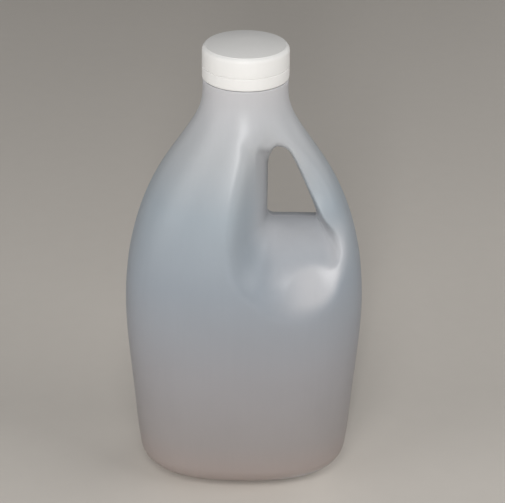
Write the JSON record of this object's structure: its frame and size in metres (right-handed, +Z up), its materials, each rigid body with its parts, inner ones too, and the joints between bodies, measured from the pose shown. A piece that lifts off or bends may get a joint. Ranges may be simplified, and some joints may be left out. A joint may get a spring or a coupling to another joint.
{
  "type": "plastic flagon",
  "caption": "Blow-moulded plastic flagon with a finger hole and an integral handle, and its white screw cap; closed, standing upright on its flat base.",
  "frame": {"origin": "middle of the flat base that it stands on", "axes": "+Z up through the cap, +X towards the handle, +Y across the mould's joint plane, from front to back"},
  "size_m": [0.1126, 0.0792, 0.222],
  "materials": {
    "bottle": "milky, satin, slightly see-through polyethylene",
    "cap": "opaque satin white"
  },
  "bodies": {
    "root": {"bottle": "bottle", "cap": "cap"}
  },
  "joints": []
}
